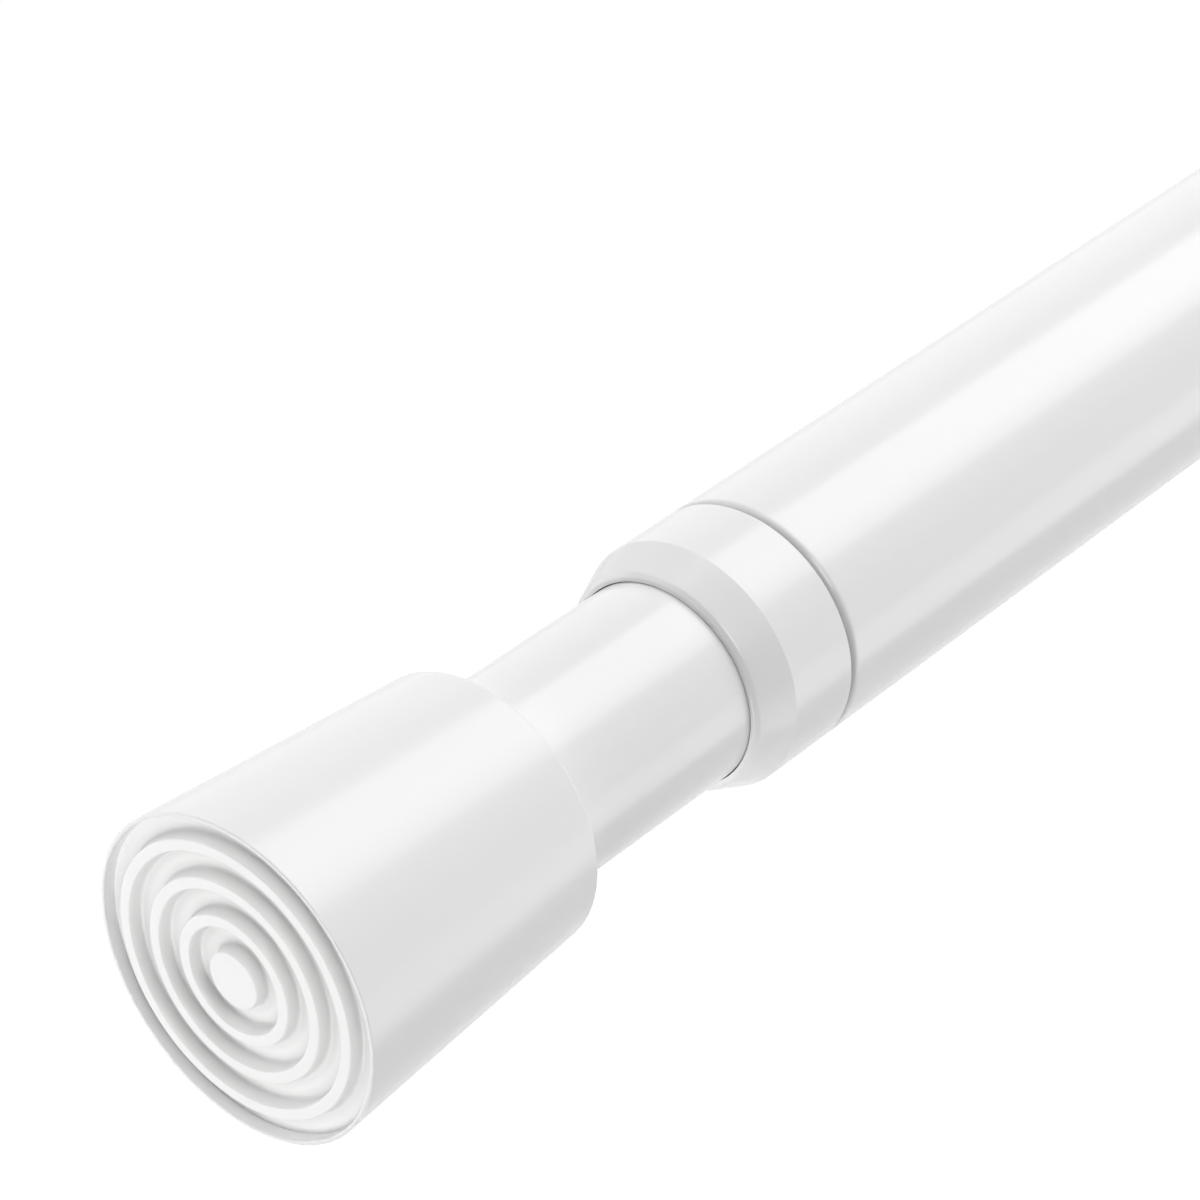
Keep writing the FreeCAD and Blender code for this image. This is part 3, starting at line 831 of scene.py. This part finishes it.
# %% [markdown]
# ## The threads of the spindle
# The spindle is threaded where the wedge nut and the two stop nuts sit. A thread is a groove that
# winds round the bar, and a helix cut with a Boolean is slow and fragile. So the bar is turned with
# fine rows, and a tree moves each point in by a saw wave of its place and its angle.
# %% Geometry Nodes: cut thread
thread_inputs = {"Pitch": "Float", "Depth": "Float", "Start": "Float", "End": "Float", "Fade": "Float",
                 "Flat": "Float", "Flats from": "Float", "Material": "Material"}
thread_tree, given, outlet = new_tree("Cut thread", thread_inputs)
spot = add(thread_tree, "ShaderNodeSeparateXYZ", [add(thread_tree, "GeometryNodeInputPosition")]).node
bearing = calc(thread_tree, "ARCTAN2", spot.outputs["Y"], spot.outputs["Z"])
turns_round = calc(thread_tree, "DIVIDE", bearing, 2 * math.pi)
turns_along = calc(thread_tree, "DIVIDE", spot.outputs["X"], given.outputs["Pitch"])
wave = calc(thread_tree, "PINGPONG", calc(thread_tree, "SUBTRACT", turns_along, turns_round), 0.5)
past_start = calc(thread_tree, "SUBTRACT", spot.outputs["X"], given.outputs["Start"])
before_end = calc(thread_tree, "SUBTRACT", given.outputs["End"], spot.outputs["X"])
inside = calc(thread_tree, "MINIMUM", past_start, before_end)
fade = calc(thread_tree, "DIVIDE", inside, given.outputs["Fade"])
fade.node.use_clamp = True
bite = calc(thread_tree, "MULTIPLY", calc(thread_tree, "MULTIPLY", wave, 2.0), given.outputs["Depth"])
sunk = calc(thread_tree, "MULTIPLY", bite, fade)
y_z = add(thread_tree, "ShaderNodeCombineXYZ", [0.0, spot.outputs["Y"], spot.outputs["Z"]])
radial = add(thread_tree, "ShaderNodeVectorMath", [y_z], operation="NORMALIZE")
towards_axis = calc(thread_tree, "MULTIPLY", sunk, -1.0)
inward = add(thread_tree, "ShaderNodeVectorMath", {0: radial, "Scale": towards_axis}, operation="SCALE")
threaded = add(
    thread_tree,
    "GeometryNodeSetPosition",
    {"Geometry": given.outputs["Geometry"], "Offset": inward},
)
late = add(thread_tree, "ShaderNodeSeparateXYZ", [add(thread_tree, "GeometryNodeInputPosition")]).node
half_flat = calc(thread_tree, "MULTIPLY", given.outputs["Flat"], 0.5)
pressed_down = calc(thread_tree, "MINIMUM", late.outputs["Z"], half_flat)
pressed_both = calc(thread_tree, "MAXIMUM", pressed_down, calc(thread_tree, "MULTIPLY", half_flat, -1.0))
flat_place = add(thread_tree, "ShaderNodeCombineXYZ", [late.outputs["X"], late.outputs["Y"], pressed_both])
past_flange = calc(thread_tree, "GREATER_THAN", late.outputs["X"], given.outputs["Flats from"])
flatted = add(
    thread_tree,
    "GeometryNodeSetPosition",
    {"Geometry": threaded, "Selection": past_flange, "Position": flat_place},
)
finish_tree(thread_tree, flatted, given, outlet)
print("tree", thread_tree.name, "with", len(thread_tree.nodes), "nodes")

# %% [markdown]
# ## The spindle
# The spindle is a steel bar with a thrust flange. It is threaded for the lock at one end and for the
# head nut at the other, and two flats between them let the inner tube turn it. The outline carries
# extra rows where the threads are, an eighth of a pitch apart.
# %% Spindle
spindle_start, spindle_end = ends("spindle")
flange_thickness = 3.0
flange_end = ends("thrust_washer")[1] + flange_thickness
flange_start = flange_end - flange_thickness
spindle_radius = 4.0
end_chamfer = 0.8
across_flats = 6.6
rows_per_pitch = 8
flange_radius = widest("spindle")
thread_pitch = 1.25
thread_depth = 0.6
lock_thread = (spindle_start + end_chamfer, ends("lock_sleeve")[1] - 7.0)
head_thread = (ends("head_nut")[0] - 1.0, spindle_end - end_chamfer)


def thread_rows(start, end):
    """Outline points along a thread, a small share of a pitch apart."""
    count = int((end - start) / thread_pitch * rows_per_pitch)
    return [Vector((start + (end - start) * n / count, spindle_radius)) for n in range(count + 1)]


spindle_outline = (
    [Vector((spindle_start, 0)), Vector((spindle_start, spindle_radius - end_chamfer))]
    + thread_rows(*lock_thread)
    + rounded([
        (lock_thread[1] + 0.5, spindle_radius, 0),
        (flange_start, spindle_radius, 0.1),
        (flange_start, flange_radius, 0.2),
        (flange_end, flange_radius, 0.2),
        (flange_end, spindle_radius, 0.1),
        (head_thread[0] - 0.5, spindle_radius, 0),
    ], closed=False)
    + thread_rows(*head_thread)
    + [Vector((spindle_end, spindle_radius - end_chamfer)), Vector((spindle_end, 0))]
)
thread_steps = []
for start, end in (lock_thread, head_thread):
    thread_steps.append((thread_tree, {
        "Pitch": thread_pitch * MM,
        "Depth": thread_depth * MM,
        "Start": start * MM,
        "End": end * MM,
        "Fade": thread_pitch * MM,
        "Flat": across_flats * MM,
        "Flats from": flange_end * MM,
        "Material": zinc,
    }))
spindle_mesh = turned_mesh("spindle_threaded", spindle_outline, zinc, 72, thread_steps)
put("spindle_threaded", spindle_mesh, "spindle", zinc, ["spindle"])

# %% [markdown]
# ## Pieces that keep their CAD shape
# The lock sleeve, the wedge nut, the bush, the plug, the nuts, the washers and the drag ring have
# the right shape already, with their slots, keys and flats. They keep their meshes, and only get
# the finish that the record names for them.
# %% Finishes of the CAD nodes
finishes = {
    "tube_enamel": enamel,
    "foot_plastic": foot_white,
    "collar_plastic": collar_white,
    "pad_rubber": pad_white,
    "nylon": nylon,
    "zinc_steel": zinc,
    "spring_steel": wire,
    "ring_rubber": ring_rubber,
}
for part in frame["record"]["subparts"]:
    node = frame["nodes"][part["node"]]
    node.data.materials.clear()
    node.data.materials.append(finishes[part["material_slot"]])

# %% [markdown]
# ## Floor and backdrop
# The photograph shows the rod on plain white. The rod is held between two walls, so the floor lies
# well below it. To the camera, and in reflections, the floor and the world are nearly all plain
# white; the rest of the floor is pale matt paint that still takes the rod's shadow.
# %% Floor and world


def seen_or_mirrored(tree):
    """One for camera, glossy and transmission rays, and zero for the light that falls on things."""
    rays = tree.nodes.new("ShaderNodeLightPath")
    seen = calc(tree, "MAXIMUM", rays.outputs["Is Camera Ray"], rays.outputs["Is Glossy Ray"])
    return calc(tree, "MAXIMUM", seen, rays.outputs["Is Transmission Ray"])


floor_drop = 0.6
floor_half = 4.0
floor_glow, glow_share = 1.08, 0.92
floor_mesh = bpy.data.meshes.new("floor")
floor_mesh.from_pydata(
    [(x * floor_half, y * floor_half, -floor_drop) for x, y in ((-1, -1), (1, -1), (1, 1), (-1, 1))],
    [],
    [(0, 1, 2, 3)],
)
floor = bpy.data.objects.new("floor", floor_mesh)
bpy.context.scene.collection.objects.link(floor)
floor_paint = bpy.data.materials.new("floor_paint")
floor_paint.use_nodes = True
tree = floor_paint.node_tree
tree.nodes.clear()
matt = add(tree, "ShaderNodeBsdfDiffuse", {"Color": (0.85, 0.85, 0.85, 1.0)})
glow = add(tree, "ShaderNodeEmission", {"Color": (1.0, 1.0, 1.0, 1.0), "Strength": floor_glow})
white_share = calc(tree, "MULTIPLY", seen_or_mirrored(tree), glow_share)
mixed = add(tree, "ShaderNodeMixShader", [white_share, matt, glow])
tree.links.new(mixed, tree.nodes.new("ShaderNodeOutputMaterial").inputs["Surface"])
floor_mesh.materials.append(floor_paint)

world = bpy.data.worlds.new("studio")
world.use_nodes = True
bpy.context.scene.world = world
tree = world.node_tree
tree.nodes.clear()
fill_strength = 0.0
fill = add(tree, "ShaderNodeBackground", {"Color": (1.0, 1.0, 1.0, 1.0), "Strength": fill_strength})
backdrop = add(tree, "ShaderNodeBackground", {"Color": (1.0, 1.0, 1.0, 1.0), "Strength": 1.0})
mixed = add(tree, "ShaderNodeMixShader", [seen_or_mirrored(tree), fill, backdrop])
tree.links.new(mixed, tree.nodes.new("ShaderNodeOutputWorld").inputs["Surface"])
print("floor", floor_drop, "m below the rod")

# %% [markdown]
# ## Lamps
# A glossy white tube is drawn by what it mirrors: long softboxes beside it make bands that run
# along it, and the gaps between them make the greys. So most lamps are strips that lie along the rod
# at several angles about it. Angles run from straight up, towards the camera's side. Two short
# strips and three panels stand about the pad. They light it from low down, so that the walls of its
# grooves show as grey rings.
# %% Lamps
lamp_distance = 0.9
lamp_target = Vector((0.33, 0.0, 0.0))
# Each strip: angle about the rod and spread in degrees, its two ends along the rod in metres, watts.
strips = {
    "strip_top": (6.0, 60.0, -1.5, 0.3, 12.6),
    "strip_top_core": (12.0, 24.4, -1.5, 0.3, 1.3),
    "strip_back": (-77.0, 55.0, -1.5, 0.3, 1.7),
    "strip_side": (127.0, 52.0, -1.5, 0.3, 7.9),
    "strip_side_edge": (90.0, 20.0, -1.5, 0.3, 1.0),
    "near_back": (-90.0, 40.0, 0.3, 1.2, 3.8),
    "near_top": (-45.0, 40.0, 0.3, 1.2, 2.3),
}
# Each panel: direction from the pad, size in metres, watts.
panels = {
    "panel_side": ((0.35, 0.62, 0.70), 0.4, 2.9),
    "panel_low": ((1.0, 0.0, -0.4), 0.4, 3.7),
    "panel_under": ((0.35, -0.66, -0.66), 0.6, 1.8),
}


def lamp(name, place, target, width, height, power):
    """A rectangular softbox at a place, aimed at a target, with its width along the rod."""
    data = bpy.data.lights.new(name, "AREA")
    data.shape = "RECTANGLE"
    data.size = width
    data.size_y = height
    data.energy = power
    lamp_object = bpy.data.objects.new(name, data)
    bpy.context.scene.collection.objects.link(lamp_object)
    aim = (target - place).normalized()
    side = Vector((1, 0, 0)) if abs(aim.x) < 0.5 else Vector((0, 1, 0))
    side = (side - aim * side.dot(aim)).normalized()
    up = side.cross(aim)
    lamp_object.visible_camera = False
    lamp_object.matrix_world = Matrix.Translation(place) @ Matrix((side, up, -aim)).transposed().to_4x4()
    return lamp_object


for name, (degrees, spread, start, end, power) in strips.items():
    angle = math.radians(degrees)
    out = Vector((0, math.sin(angle), math.cos(angle))) * lamp_distance
    target = Vector(((start + end) / 2, 0, 0))
    width = 2 * lamp_distance * math.tan(math.radians(spread) / 2)
    lamp(name, target + out, target, end - start, width, power)
for name, (direction, size, power) in panels.items():
    lamp(name, lamp_target + Vector(direction).normalized() * lamp_distance, lamp_target, size, size, power)
bpy.context.scene.view_settings.view_transform = "Standard"
print("lamps", len(strips) + len(panels))
